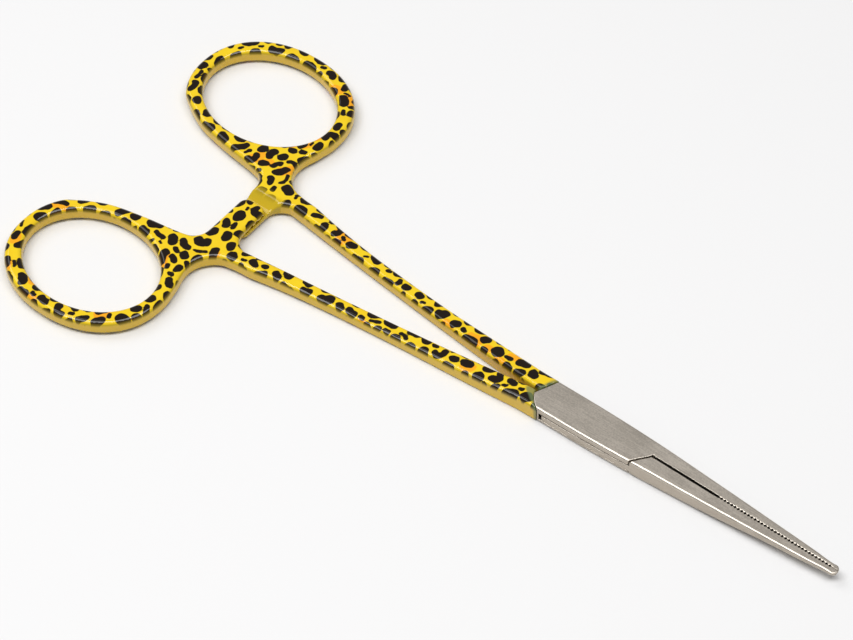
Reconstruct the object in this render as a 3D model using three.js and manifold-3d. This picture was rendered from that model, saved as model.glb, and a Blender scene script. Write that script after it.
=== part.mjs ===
// Straight locking haemostatic forceps with a box-lock joint and lacquered finger rings.
// Millimetres. The joint axis is +Z through the origin, the jaws point to +X, and z = 0 is the
// plane that the instrument lies on. One half has its finger ring on the -Y side and forms the
// box, the other has its ring on the +Y side and passes through the box as a thin tongue.
import * as THREE from 'three';
import { mergeVertices } from 'three/addons/utils/BufferGeometryUtils.js';
import Module from 'manifold-3d';

const wasm = await Module();
wasm.setup();

// ---- driving dimensions ----------------------------------------------------------------------

const TIP_X = 44.6;                  // jaw tip, so that the whole instrument is nearly 140 long
const BOX_THICKNESS = 3.0;

// Finger ring: centre, outer half axes, and the opening for the finger.
const RING_CENTRE = new THREE.Vector2(-80.8, 21.8);
const RING_OUTER = new THREE.Vector2(14.4, 11.95);
const RING_SQUARENESS = 2.15;        // superellipse exponent of the outer edge
const RING_SPAN = [-0.16, Math.PI * 1.2];   // the outer edge runs from neck to neck, in radians
const RING_FACETS = 26;
const OPENING_CENTRE = new THREE.Vector2(-80.85, 21.8);
const OPENING = new THREE.Vector2(11.9, 9.3);
const OPENING_FACETS = 14;           // per quarter
const RING_TOP = 2.76;
const RING_UNDERSIDE = 0.34;

// Neck, where the shank widens into the ring: inner edge to the ring, outer edge from the ring.
const NECK_INNER = [[-64, 5.86], [-68.5, 7.1], [-73.5, 8.65], [-80, 9.65], [-86, 10.95], [-90, 12.8]];
const NECK_OUTER = [[-67.1, 17.2], [-67.9, 14.2], [-67.4, 11.5], [-65.5, 9.4], [-63, 8.65]];
const NECK_INNER_FACETS = 14;
const NECK_OUTER_FACETS = 10;
const NECK_FRONT_X = -60;

// Shank: the two halves part at the crotch and spread backwards with a slight curve.
const CROTCH_X = -11;
const CROTCH_HALF_GAP = 0.13;
const SHANK_SPREAD = 0.089;
const SHANK_CURVE = 0.00036;
const SHANK_REAR_X = -64;
const SHANK_FRONT_X = -6;
const SHANK_WIDTH = [[-64, 3.2], [-55, 2.66], [-34, 2.66], [-20, 3.05], [-6, 3.15]];
const SHANK_TOP = [[-60, RING_TOP], [-46, 2.3], [-27, 2.3], [-17, 2.7], [-9, 3.1]];
const SHANK_UNDERSIDE = [[-60, RING_UNDERSIDE], [-46, 0.2], [-27, 0.06], [-10, 0]];
const SHANK_EDGE_WIDTH = [[-46, 0.7], [-15, 0.45]];     // rounding: width
const SHANK_EDGE_SHARE = [[-46, 0.34], [-15, 0.2]];    // rounding: share of the thickness
const SHANK_STEPS = 14;
const SECTION_FLAT = 0.5;            // flat share of the shank's unit section, and its rounding
const SECTION_EDGE = 0.68;
const HANDLE_EDGE = new THREE.Vector2(0.7, 0.34);   // rounding: width, share of the thickness
const EDGE_FACETS = 2;

// Lacquer skin over ring, shank and ratchet arm.
const COAT_THICKNESS = 0.22;
const COAT_GAP = 0.06;
const CORE_INSET = COAT_THICKNESS + COAT_GAP;

// Box and jaws: half width along X for the pair, and jaw height at the tip.
const HALF_WIDTH = [[-14, 3.18], [-6, 3.18], [2, 3.12], [8, 2.94], [14, 2.67], [20, 2.36],
  [27, 1.98], [34, 1.57], [40, 1.2], [43.2, 0.95]];
const TAPER_START_X = 12;
const TIP_THICKNESS = 1.3;
const TIP_ROUNDING = 6;              // facets over the rounded tip
const BODY_EDGE = new THREE.Vector2(0.42, 0.16);

// Seams, seen from above: the cheeks of the box end at these lines.
const REAR_SEAM = [new THREE.Vector2(-9.55, -0.2), new THREE.Vector2(-8.05, 3.1)];
const FRONT_SEAM = [new THREE.Vector2(11.2, 0.25), new THREE.Vector2(8.85, -2.9)];
const BOX_COAT_END = [new THREE.Vector2(-9.85, -0.9), new THREE.Vector2(-7.5, -3.3)];
const SEAM_GAP = 0.14;
const SEAM_OVERRUN = 3;              // the seam lines run this far past the edges of the body
const BOX_COAT_GAP = 0.1;
const CORE_OVERLAP = 1.5;            // the shank under the lacquer runs this far into the box

// Slot through the box and the tongue in it.
const SLOT_BOTTOM = 0.7;
const SLOT_TOP = 1.85;
const REAR_ROOT = [new THREE.Vector2(-9.58, 0), new THREE.Vector2(-7.3, -3.2)];
const FRONT_ROOT = [new THREE.Vector2(11.3, 0.33), new THREE.Vector2(7.9, 3.2)];
const SLOT_REACH = new THREE.Vector2(16, 8);
const TONGUE_FRONT_X = 12;
const TONGUE_REAR = [[-5.8, 8], [-8.25, 2.6], [-13, 2.8], [-13, 1.0]];   // joins the shank
const TONGUE_SIDE_GAP = 0.06;
const TONGUE_ROOT_GAP = 0.2;

// Joint pin.
const PIN_RADIUS = 1.4;
const PIN_CHEEK_GAP = 0.03;
const PIN_TONGUE_GAP = 0.07;
const PIN_SIDES = 48;

// Parting line of the jaws: a plain slit, then interlocking cross serrations.
const SLIT_Y = 0.15;
const SLIT_HALF_GAP = 0.18;
const TEETH_START_X = 23.6;
const TEETH_END_X = 43.4;
const TOOTH_COUNT = 33;
const TOOTH_HEIGHT = 0.3;
const TEETH_RUN_IN = 0.4;
const TEETH_RUN_OUT = 0.3;
const TEETH_HALF_GAP = 0.07;

// Ratchet arms: one passes over the other, with facing teeth.
const ARM_REAR_X = -70.45;
const ARM_FRONT_X = -65.7;
const ARM_REACH_Y = -3.2;            // the end, across the centre line from its own ring
const ARM_CORNER = 1.5;
const ARM_REAR_FILLET = new THREE.Vector2(2.8, 2.6);   // from the arm into the ring's neck
const ARM_REAR_FILLET_Y = 5.4;
const ARM_FRONT_FILLET = new THREE.Vector2(3.4, 2.4);  // from the arm into the shank
const ARM_FRONT_FILLET_Y = 2.8;
const ARM_ROOT_Y = 11.4;
const ARM_FACE_LOW = 1.41;           // upper face of the lower arm
const ARM_FACE_HIGH = 1.59;          // lower face of the upper arm
const ARM_RAMP = [3.6, 6.2];         // the arm comes up to full thickness between these Y
const ARM_FACETS = 3;
const RATCHET_PITCH = 1.25;
const RATCHET_DEPTH = 0.4;
const RATCHET_STEEP = 0.25;          // share of the pitch taken by the steep flank
const RATCHET_TEETH = 3;
const RATCHET_START_Y = -2.2;

const FAR = 200;                     // beyond everything, for cutting prisms

// ---- small helpers ---------------------------------------------------------------------------

// Value at x of a line given by stations [x, value], level beyond the ends.
function along(stations, x) {
  const last = stations.length - 1;
  if (x <= stations[0][0]) return stations[0][1];
  if (x >= stations[last][0]) return stations[last][1];
  const next = stations.findIndex((station) => station[0] > x);
  const [x0, v0] = stations[next - 1];
  const [x1, v1] = stations[next];
  return THREE.MathUtils.lerp(v0, v1, THREE.MathUtils.smoothstep(x, x0, x1));
}

function vectors(pairs) {
  return pairs.map(([x, y]) => new THREE.Vector2(x, y));
}

// Outline points of a drawn shape, without the doubled points where its curves meet.
function outline(shape, divisions) {
  const points = shape.getPoints(divisions);
  return points.filter((point, i) => {
    const next = points[(i + 1) % points.length];
    return point.distanceTo(next) > 0.02;
  });
}

function solidOf(geometry) {
  const bare = geometry.index ? geometry.toNonIndexed() : geometry;
  bare.deleteAttribute('normal');
  bare.deleteAttribute('uv');
  const merged = mergeVertices(bare, 1e-4);
  return new wasm.Manifold(new wasm.Mesh({
    numProp: 3,
    vertProperties: new Float32Array(merged.attributes.position.array),
    triVerts: new Uint32Array(merged.index.array),
  }));
}

function geometryOf(solid) {
  const mesh = solid.getMesh();
  const geometry = new THREE.BufferGeometry();
  geometry.setAttribute('position', new THREE.BufferAttribute(new Float32Array(mesh.vertProperties), 3));
  geometry.setIndex(new THREE.BufferAttribute(new Uint32Array(mesh.triVerts), 1));
  geometry.computeVertexNormals();
  return geometry;
}

// Straight prism over a plan outline between two heights.
function prism(points, bottom, top) {
  const shape = new THREE.Shape(points);
  const geometry = new THREE.ExtrudeGeometry(shape, { depth: top - bottom, bevelEnabled: false });
  geometry.translate(0, 0, bottom);
  return solidOf(geometry);
}

// Rounded slab over a plan outline. Its belly follows the outline less `inset`, and its faces
// follow the height functions, also drawn in by `inset`.
function slab(shape, edge, inset, underside, top) {
  const geometry = new THREE.ExtrudeGeometry(shape, {
    depth: 1 - 2 * edge.y,
    bevelEnabled: true,
    bevelThickness: edge.y,
    bevelSize: edge.x,
    bevelOffset: -edge.x - inset,
    bevelSegments: EDGE_FACETS,
    steps: 1,
  });
  const position = geometry.attributes.position;
  for (let i = 0; i < position.count; i += 1) {
    const x = position.getX(i);
    const low = underside(x) + inset;
    const high = top(x) - inset;
    position.setZ(i, THREE.MathUtils.lerp(low, high, position.getZ(i) + edge.y));
  }
  return solidOf(geometry);
}

// Everything on the left of the line from a to b, as a tall block.
function leftOf(a, b, shift = 0) {
  const direction = b.clone().sub(a).normalize();
  const left = new THREE.Vector2(-direction.y, direction.x);
  const start = a.clone().addScaledVector(direction, -FAR).addScaledVector(left, shift);
  const end = a.clone().addScaledVector(direction, FAR).addScaledVector(left, shift);
  const farEnd = end.clone().addScaledVector(left, FAR);
  const farStart = start.clone().addScaledVector(left, FAR);
  return prism([start, end, farEnd, farStart], -FAR, FAR);
}

function cylinder(radius, bottom, top) {
  const geometry = new THREE.CylinderGeometry(radius, radius, top - bottom, PIN_SIDES);
  geometry.rotateX(Math.PI / 2);
  geometry.translate(0, 0, (bottom + top) / 2);
  return solidOf(geometry);
}

function mirrored(solid) {
  return solid.mirror([0, 1, 0]);
}

// ---- handle: ring, shank and ratchet arm, modelled with the ring on the +Y side ---------------

function ringPoint(angle) {
  const c = Math.cos(angle);
  const s = Math.sin(angle);
  const power = 2 / RING_SQUARENESS;
  return new THREE.Vector2(
    RING_CENTRE.x + RING_OUTER.x * Math.sign(c) * Math.abs(c) ** power,
    RING_CENTRE.y + RING_OUTER.y * Math.sign(s) * Math.abs(s) ** power,
  );
}

function shankInner(x) {
  const back = Math.max(0, CROTCH_X - x);
  return CROTCH_HALF_GAP + SHANK_SPREAD * back + SHANK_CURVE * back * back;
}

function shankOuter(x) {
  return shankInner(x) + along(SHANK_WIDTH, x);
}

// Plan of the ring and neck, with the finger opening.
function ringShape() {
  const front = NECK_FRONT_X;
  const outerEdge = new THREE.SplineCurve([
    new THREE.Vector2(front, shankOuter(front)),
    ...vectors(NECK_OUTER).reverse(),
  ]);
  const innerEdge = new THREE.SplineCurve([
    ...vectors(NECK_INNER).reverse(),
    new THREE.Vector2(front, shankInner(front)),
  ]);
  const points = outerEdge.getPoints(NECK_OUTER_FACETS);
  for (let i = 0; i <= RING_FACETS; i += 1) {
    points.push(ringPoint(THREE.MathUtils.lerp(RING_SPAN[0], RING_SPAN[1], i / RING_FACETS)));
  }
  points.push(...innerEdge.getPoints(NECK_INNER_FACETS));
  const shape = new THREE.Shape(points);
  const opening = new THREE.Path();
  opening.absellipse(OPENING_CENTRE.x, OPENING_CENTRE.y, OPENING.x, OPENING.y, 0, Math.PI * 2, true);
  shape.holes.push(new THREE.Path(outline(opening, OPENING_FACETS)));
  return shape;
}

// Plan of the ratchet arm, with a rounded end and a fillet on either side of its root.
function armShape() {
  const rear = new THREE.Vector2(ARM_REAR_X, ARM_REAR_FILLET_Y);
  const rearRoot = new THREE.Vector2(rear.x - ARM_REAR_FILLET.x, rear.y + ARM_REAR_FILLET.y);
  const front = new THREE.Vector2(ARM_FRONT_X, ARM_FRONT_FILLET_Y);
  const frontRoot = new THREE.Vector2(front.x + ARM_FRONT_FILLET.x, front.y + ARM_FRONT_FILLET.y);
  const cornerY = ARM_REACH_Y + ARM_CORNER;
  const shape = new THREE.Shape();
  shape.moveTo(rearRoot.x, ARM_ROOT_Y);
  shape.lineTo(rearRoot.x, rearRoot.y + ARM_CORNER / 2);
  shape.quadraticCurveTo(rear.x, rearRoot.y, rear.x, rear.y);
  shape.lineTo(rear.x, cornerY);
  shape.absarc(rear.x + ARM_CORNER, cornerY, ARM_CORNER, Math.PI, Math.PI * 1.5);
  shape.absarc(front.x - ARM_CORNER, cornerY, ARM_CORNER, Math.PI * 1.5, 0);
  shape.lineTo(front.x, front.y);
  shape.quadraticCurveTo(front.x, frontRoot.y, frontRoot.x, frontRoot.y + ARM_CORNER / 2);
  shape.lineTo(frontRoot.x - ARM_CORNER / 2, frontRoot.y + ARM_CORNER * 2);
  return shape;
}

// Side view of a ratchet arm as (y, z): level, then the ramp up to the ring's own thickness.
function armProfile(isUpper, inset) {
  const face = isUpper ? ARM_FACE_HIGH + inset : ARM_FACE_LOW - inset;
  const toothDirection = isUpper ? 1 : -1;
  const top = RING_TOP - inset;
  const underside = RING_UNDERSIDE + inset;
  const ownSide = isUpper ? top : underside;
  const farSide = isUpper ? underside : top;
  const end = ARM_REACH_Y - 1;
  const profile = [[end, ownSide], [end, face], [RATCHET_START_Y, face]];
  for (let i = 0; i < RATCHET_TEETH; i += 1) {
    const y = RATCHET_START_Y + i * RATCHET_PITCH;
    profile.push([y + RATCHET_PITCH * RATCHET_STEEP, face + toothDirection * RATCHET_DEPTH]);
    profile.push([y + RATCHET_PITCH, face]);
  }
  profile.push([ARM_RAMP[0], face], [ARM_RAMP[1], farSide]);
  profile.push([ARM_ROOT_Y + 1, farSide], [ARM_ROOT_Y + 1, ownSide]);
  return profile;
}

function level(height) {
  return () => height;
}

function arm(isUpper, inset) {
  const plan = new THREE.Shape(outline(armShape(), ARM_FACETS));
  const blank = slab(plan, HANDLE_EDGE, inset, level(RING_UNDERSIDE), level(RING_TOP));
  const profile = new THREE.Shape(vectors(armProfile(isUpper, inset)));
  const geometry = new THREE.ExtrudeGeometry(profile, { depth: FAR, bevelEnabled: false });
  geometry.rotateX(Math.PI / 2);
  geometry.rotateZ(Math.PI / 2);
  geometry.translate(ARM_REAR_X - FAR / 2, 0, 0);
  return blank.intersect(solidOf(geometry));
}

// Place of a unit coordinate between two sides: up to `flat` it lies on the flat stretch, and
// from there to 1 on the rounded edge of the given size.
function fitted(value, flat, low, high, edge) {
  const halfFlat = (high - low) / 2 - edge;
  const flatShare = Math.min(1, Math.abs(value) / flat);
  const edgeShare = Math.max(0, Math.abs(value) - flat) / (1 - flat);
  return (low + high) / 2 + Math.sign(value) * (halfFlat * flatShare + edge * edgeShare);
}

// Shank: a rounded section drawn along X and fitted between its edge, top and underside curves.
function shank(inset) {
  const flat = SECTION_FLAT;
  const level = 1 - SECTION_EDGE;
  const section = new THREE.Shape();
  section.absellipse(flat, level, 1 - flat, SECTION_EDGE, 0, Math.PI / 2);
  section.absellipse(-flat, level, 1 - flat, SECTION_EDGE, Math.PI / 2, Math.PI);
  section.absellipse(-flat, -level, 1 - flat, SECTION_EDGE, Math.PI, Math.PI * 1.5);
  section.absellipse(flat, -level, 1 - flat, SECTION_EDGE, Math.PI * 1.5, Math.PI * 2);
  const geometry = new THREE.ExtrudeGeometry(new THREE.Shape(outline(section, EDGE_FACETS)), {
    depth: SHANK_FRONT_X - SHANK_REAR_X,
    steps: SHANK_STEPS,
    bevelEnabled: false,
  });
  const position = geometry.attributes.position;
  for (let i = 0; i < position.count; i += 1) {
    const x = SHANK_REAR_X + position.getZ(i);
    const inner = shankInner(x) + inset;
    const outer = shankOuter(x) - inset;
    const low = along(SHANK_UNDERSIDE, x) + inset;
    const high = along(SHANK_TOP, x) - inset;
    const y = fitted(position.getX(i), flat, inner, outer, along(SHANK_EDGE_WIDTH, x));
    const edgeHeight = along(SHANK_EDGE_SHARE, x) * (high - low);
    const z = fitted(position.getY(i), level, low, high, edgeHeight);
    position.setXYZ(i, x, y, z);
  }
  return solidOf(geometry);
}

function handle(isUpper, inset) {
  const ring = slab(ringShape(), HANDLE_EDGE, inset, level(RING_UNDERSIDE), level(RING_TOP));
  return ring.add(shank(inset)).add(arm(isUpper, inset));
}

// Lacquer skin: the outer form less the same form drawn in, open at the front end.
function coat(isUpper, endLine, shift) {
  const skin = handle(isUpper, 0).subtract(handle(isUpper, COAT_THICKNESS));
  return skin.intersect(leftOf(endLine[0], endLine[1], shift));
}

// ---- box, jaws and tongue ---------------------------------------------------------------------

function jawTaper(x) {
  const share = THREE.MathUtils.clamp((x - TAPER_START_X) / (TIP_X - TAPER_START_X), 0, 1);
  return share * (BOX_THICKNESS - TIP_THICKNESS) / 2;
}

// Box and both jaws as one rounded body, before the seams are cut.
function body() {
  const upperEdge = vectors(HALF_WIDTH);
  const [tipBaseX, tipRadius] = HALF_WIDTH[HALF_WIDTH.length - 1];
  const tip = [];
  for (let i = 1; i < TIP_ROUNDING; i += 1) {
    const angle = Math.PI / 2 - (i / TIP_ROUNDING) * Math.PI;
    tip.push(new THREE.Vector2(
      tipBaseX + (TIP_X - tipBaseX) * Math.cos(angle),
      tipRadius * Math.sin(angle),
    ));
  }
  const lowerEdge = upperEdge.map((point) => new THREE.Vector2(point.x, -point.y)).reverse();
  const shape = new THREE.Shape([...upperEdge, ...tip, ...lowerEdge]);
  return slab(shape, BODY_EDGE, 0, jawTaper, (x) => BOX_THICKNESS - jawTaper(x));
}

// Serrated parting line of the jaws, moved sideways by half the gap on either side.
function partingLine(side) {
  const slitY = SLIT_Y + side * SLIT_HALF_GAP;
  const points = [new THREE.Vector2(FRONT_SEAM[0].x, slitY)];
  points.push(new THREE.Vector2(TEETH_START_X - TEETH_RUN_IN, slitY));
  const pitch = (TEETH_END_X - TEETH_START_X) / TOOTH_COUNT;
  const offset = SLIT_Y + side * TEETH_HALF_GAP;
  for (let i = 0; i < TOOTH_COUNT; i += 1) {
    const x = TEETH_START_X + i * pitch;
    points.push(new THREE.Vector2(x, offset - TOOTH_HEIGHT / 2));
    points.push(new THREE.Vector2(x + pitch / 2, offset + TOOTH_HEIGHT / 2));
  }
  points.push(new THREE.Vector2(TEETH_END_X, offset - TOOTH_HEIGHT / 2));
  points.push(new THREE.Vector2(TEETH_END_X + TEETH_RUN_OUT, offset));
  points.push(new THREE.Vector2(FAR, offset));
  return points;
}

function extended(line, length) {
  const direction = line[1].clone().sub(line[0]).normalize();
  return line[1].clone().addScaledVector(direction, length);
}

// Plan of what belongs to the box half: cheeks, and the jaw on the +Y side.
function boxHalfRegion() {
  const shift = new THREE.Vector2(BOX_COAT_GAP, BOX_COAT_GAP);
  return prism([
    BOX_COAT_END[0].clone().add(shift),
    extended(BOX_COAT_END, SEAM_OVERRUN).add(shift),
    extended(FRONT_SEAM, SEAM_OVERRUN),
    FRONT_SEAM[0],
    ...partingLine(1),
    new THREE.Vector2(FAR, SLOT_REACH.x),
    extended(REAR_SEAM, SEAM_OVERRUN),
    REAR_SEAM[0],
  ], -1, BOX_THICKNESS + 1);
}

// Plan of the jaw on the -Y side, in front of the cheeks.
function tongueJawRegion() {
  const shift = new THREE.Vector2(SEAM_GAP, -SEAM_GAP / 2);
  return prism([
    FRONT_SEAM[0].clone().add(shift).setY(SLIT_Y - SLIT_HALF_GAP),
    extended(FRONT_SEAM, SEAM_OVERRUN).add(shift),
    new THREE.Vector2(FAR, -SLOT_REACH.x),
    ...partingLine(-1).slice(1).reverse(),
  ], -1, BOX_THICKNESS + 1);
}

// A root line of the slot moved along both axes.
function shifted(line, distance) {
  return line.map((point) => point.clone().addScalar(distance));
}

function slot() {
  return prism([
    extended(REAR_ROOT, SLOT_REACH.y),
    new THREE.Vector2(SLOT_REACH.x, -SLOT_REACH.y),
    new THREE.Vector2(SLOT_REACH.x, SLIT_Y - SLIT_HALF_GAP),
    FRONT_ROOT[0],
    extended(FRONT_ROOT, SLOT_REACH.y),
    new THREE.Vector2(-SLOT_REACH.x, SLOT_REACH.y),
    new THREE.Vector2(-SLOT_REACH.x, REAR_ROOT[0].y),
    REAR_ROOT[0],
  ], SLOT_BOTTOM, SLOT_TOP);
}

function tongue() {
  const rear = shifted(REAR_ROOT, TONGUE_ROOT_GAP);
  const front = shifted(FRONT_ROOT, -TONGUE_ROOT_GAP);
  return prism([
    extended(rear, SLOT_REACH.y),
    new THREE.Vector2(TONGUE_FRONT_X, -SLOT_REACH.y),
    new THREE.Vector2(TONGUE_FRONT_X, -2 * SLIT_HALF_GAP),
    new THREE.Vector2(front[0].x, SLIT_Y - SLIT_HALF_GAP),
    front[0],
    extended(front, SLOT_REACH.y),
    ...vectors(TONGUE_REAR),
    new THREE.Vector2(rear[0].x, rear[0].y + 2 * TONGUE_ROOT_GAP),
  ], SLOT_BOTTOM + TONGUE_SIDE_GAP, SLOT_TOP - TONGUE_SIDE_GAP);
}

// ---- finished pieces --------------------------------------------------------------------------

function boxHalf() {
  const core = mirrored(handle(true, CORE_INSET));
  const boxAndJaw = body().intersect(boxHalfRegion());
  const coreEnd = leftOf(BOX_COAT_END[1], BOX_COAT_END[0], -CORE_OVERLAP);
  return core.intersect(coreEnd)
    .add(boxAndJaw)
    .subtract(slot())
    .subtract(cylinder(PIN_RADIUS + PIN_CHEEK_GAP, -1, BOX_THICKNESS + 1));
}

function tongueHalf() {
  const core = handle(false, CORE_INSET).intersect(leftOf(REAR_SEAM[0], REAR_SEAM[1], SEAM_GAP));
  const jaw = body().intersect(tongueJawRegion());
  const web = body().intersect(tongue());
  return core
    .add(jaw)
    .add(web)
    .subtract(cylinder(PIN_RADIUS + PIN_TONGUE_GAP, -1, BOX_THICKNESS + 1));
}

function steel(colour, roughness) {
  return new THREE.MeshStandardMaterial({ color: colour, roughness, metalness: 1 });
}

function lacquer() {
  return new THREE.MeshStandardMaterial({ color: 0xf2cf1f, roughness: 0.12, metalness: 0 });
}

function piece(name, solid, material) {
  const mesh = new THREE.Mesh(geometryOf(solid), material);
  mesh.name = name;
  return mesh;
}

const boxCoatEnd = BOX_COAT_END.map((point) => new THREE.Vector2(point.x, -point.y));
const forceps = new THREE.Group();
forceps.add(
  piece('box_half', boxHalf(), steel(0x9c958b, 0.34)),
  piece('tongue_half', tongueHalf(), steel(0x9c958b, 0.34)),
  piece('joint_pin', cylinder(PIN_RADIUS, 0, BOX_THICKNESS), steel(0xa39c92, 0.3)),
  piece('box_half_lacquer', mirrored(coat(true, boxCoatEnd, BOX_COAT_GAP / 2)), lacquer()),
  piece('tongue_half_lacquer', coat(false, REAR_SEAM, SEAM_GAP), lacquer()),
);

export default forceps;
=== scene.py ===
"""Looks of the locking haemostatic forceps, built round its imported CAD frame.

Each half is a steel forging with a printed lacquer skin on its handle. The shapes are worked out in
millimetres as smooth fields, meshed with a surface net, and placed in the shared frame in metres.
+X runs to the tip, +Z is up, and the pin of the box lock is on the Z axis. The handle of the box
half is worked out with its ring on +Y and then mirrored to -Y.
"""

import itertools
import math

import bpy
import numpy as np
from mathutils import Matrix, Vector


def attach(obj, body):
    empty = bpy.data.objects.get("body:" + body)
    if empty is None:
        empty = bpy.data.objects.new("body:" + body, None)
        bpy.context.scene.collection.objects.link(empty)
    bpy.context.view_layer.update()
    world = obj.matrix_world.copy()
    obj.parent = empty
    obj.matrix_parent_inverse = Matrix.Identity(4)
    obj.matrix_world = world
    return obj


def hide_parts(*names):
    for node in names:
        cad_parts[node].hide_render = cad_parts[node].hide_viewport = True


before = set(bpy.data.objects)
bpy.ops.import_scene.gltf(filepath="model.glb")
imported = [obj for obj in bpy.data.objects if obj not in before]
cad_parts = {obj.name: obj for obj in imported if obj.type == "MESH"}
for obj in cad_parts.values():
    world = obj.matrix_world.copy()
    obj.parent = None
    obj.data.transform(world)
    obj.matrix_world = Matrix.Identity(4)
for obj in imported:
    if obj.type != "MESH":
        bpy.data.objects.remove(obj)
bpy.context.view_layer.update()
MM = 0.001

# ---- dimensions in millimetres, those of the CAD model or close to them ------------------------

TIP_X = 44.6
BOX_THICKNESS = 3.0
RING_CENTRE = (-80.8, 21.8)
RING_OUTER = (14.4, 11.95)
RING_SQUARENESS = 2.15
RING_SPAN = (-0.16, math.pi * 1.2)      # radians
OPENING_CENTRE = (-80.85, 21.8)
OPENING = (11.9, 9.3)
RING_TOP = 2.76
RING_UNDERSIDE = 0.34
NECK_INNER = [(-64, 5.86), (-68.5, 7.1), (-73.5, 8.65), (-80, 9.65), (-86, 10.95), (-90, 12.8)]
NECK_OUTER = [(-67.1, 17.2), (-67.9, 14.2), (-67.4, 11.5), (-65.5, 9.4), (-63, 8.65)]
NECK_FRONT_X = -60
CROTCH_X = -11
CROTCH_HALF_GAP = 0.13
SHANK_SPREAD = 0.089
SHANK_CURVE = 0.00036
SHANK_FRONT_X = -6
SHANK_WIDTH = [(-64, 3.2), (-55, 2.66), (-34, 2.66), (-20, 3.05), (-6, 3.15)]
SHANK_TOP = [(-60, RING_TOP), (-46, 2.3), (-27, 2.3), (-17, 2.7), (-9, 3.1)]
SHANK_UNDERSIDE = [(-60, RING_UNDERSIDE), (-46, 0.2), (-27, 0.06), (-10, 0)]
TOP_EDGE = [(-64, 0.86), (-46, 0.76), (-15, 0.66)]
UNDER_EDGE = [(-70, 0.62), (-56, 0.34)]
FACET_TILT = math.radians(30)
HANDLE_FACET = 0.26
JAW_FACET = 0.15
CORE_INSET = 0.28                       # from the lacquer's surface to the steel
CORE_OVERRUN = 0.9                      # the steel of the box half's handle runs on into the box
CORE_SETBACK = 0.1

HALF_WIDTH = [(-14, 3.18), (-6, 3.18), (2, 3.12), (8, 2.94), (14, 2.67), (20, 2.36), (27, 1.98),
              (34, 1.57), (40, 1.2), (43.2, 0.95)]
TAPER_COSINE = 0.998                    # keeps the field of the slanting sides at one per mm
TIP_START_X = 43.7
TIP_HALF_WIDTH = 0.95
TAPER_START_X = 12
TIP_THICKNESS = 1.3
JAW_FOOT_X = (20, 35)                   # the underside of the jaws is rounded off more from here on
JAW_FOOT_RISE = 0.22
REAR_SEAM = ((-9.55, -0.2), (-8.05, 3.1))
FRONT_SEAM = [(11.2, 0.2), (10.85, -0.3), (10.1, -1.25), (9.45, -2.1), (8.85, -2.95), (7.6, -4.8)]
BOX_COAT_COSINE = 0.78                  # the same for the curved end of the lacquer
BOX_COAT_END = [(-9.95, 0.3), (-9.85, 0.9), (-9.25, 1.85), (-8.45, 2.7), (-7.5, 3.3), (-5.4, 4.2)]
SEAM_GAP = 0.14
FRONT_SEAM_SHIFT = (0.24, -0.13)
SLOT_BOTTOM = 0.7
SLOT_TOP = 2.05
REAR_ROOT = ((-9.58, 0), (-7.3, -3.2))
FRONT_ROOT = ((11.3, 0.33), (7.9, 3.2))
TONGUE_REAR = [(-5.8, 8), (-8.25, 2.6), (-13, 2.8), (-13, 1.0)]
TONGUE_FRONT_X = 12
TONGUE_GAP_UNDER = 0.03
TONGUE_GAP_OVER = 0.2
TONGUE_ROOT_GAP = 0.2
PIN_RADIUS = 1.4
PIN_INSET = 0.1
PIN_TONGUE_GAP = 0.06
PIN_PROUD = 0.0015
PIN_CHAMFER = (0.004, 0.002)
PIN_FACE_RINGS = (0.35, 0.7)
PIN_SIDES = 96
SLIT_Y = 0.15
SLIT_HALF_GAP = 0.23
TEETH_START_X = 23.6
TEETH_END_X = 43.4
TOOTH_COUNT = 33
TOOTH_PITCH = (TEETH_END_X - TEETH_START_X) / TOOTH_COUNT
TOOTH_ROOT = 0.26
BOX_TOOTH_EDGE = 0.2
TONGUE_TOOTH_EDGE = 0.03
CLOSED_HALF_GAP = 0.02                  # parting line in front of the teeth
BEYOND_TIP_X = 60

ARM_REAR_X = -70.45
ARM_FRONT_X = -65.7
ARM_REACH_Y = -3.2
ARM_CORNER = 1.5
ARM_FACE_LOW = 1.41
ARM_FACE_HIGH = 1.59
ARM_RAMP = (3.0, 7.0)
ARM_RAMP_DEPTH = 2.2
ARM_EDGE = 0.85
RATCHET_PITCH = 1.25
RATCHET_DEPTH = 0.4
RATCHET_TEETH = 3
RATCHET_START_Y = -2.2

# Boxes that the pieces are meshed in, and the size of a mesh cell.
HANDLE_BOX = ((-96, -4, -0.2), (-5, 34.5, 3.4))
STEEL_BOX = ((-13.5, -3.4, -0.15), (44.9, 3.4, 3.15))
HANDLE_STEP = 0.22
STEEL_STEP = 0.09
CORE_STEP = 0.4


# ---- curves and plan outlines -----------------------------------------------------------------

def along(stations, x):
    """Smooth value at x through stations (x, value), level beyond the ends."""
    xs, values = np.array(stations, float).T
    slopes = np.gradient(values, xs)
    slopes[0] = slopes[-1] = 0
    i = np.clip(np.searchsorted(xs, x) - 1, 0, len(xs) - 2)
    width = xs[i + 1] - xs[i]
    t = np.clip((x - xs[i]) / width, 0, 1)
    start = (1 + 2 * t) * (1 - t) ** 2 * values[i] + t * (1 - t) ** 2 * width * slopes[i]
    end = t * t * (3 - 2 * t) * values[i + 1] + t * t * (t - 1) * width * slopes[i + 1]
    return start + end


def smooth(t, low, high):
    t = np.clip((t - low) / (high - low), 0, 1)
    return t * t * (3 - 2 * t)


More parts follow.
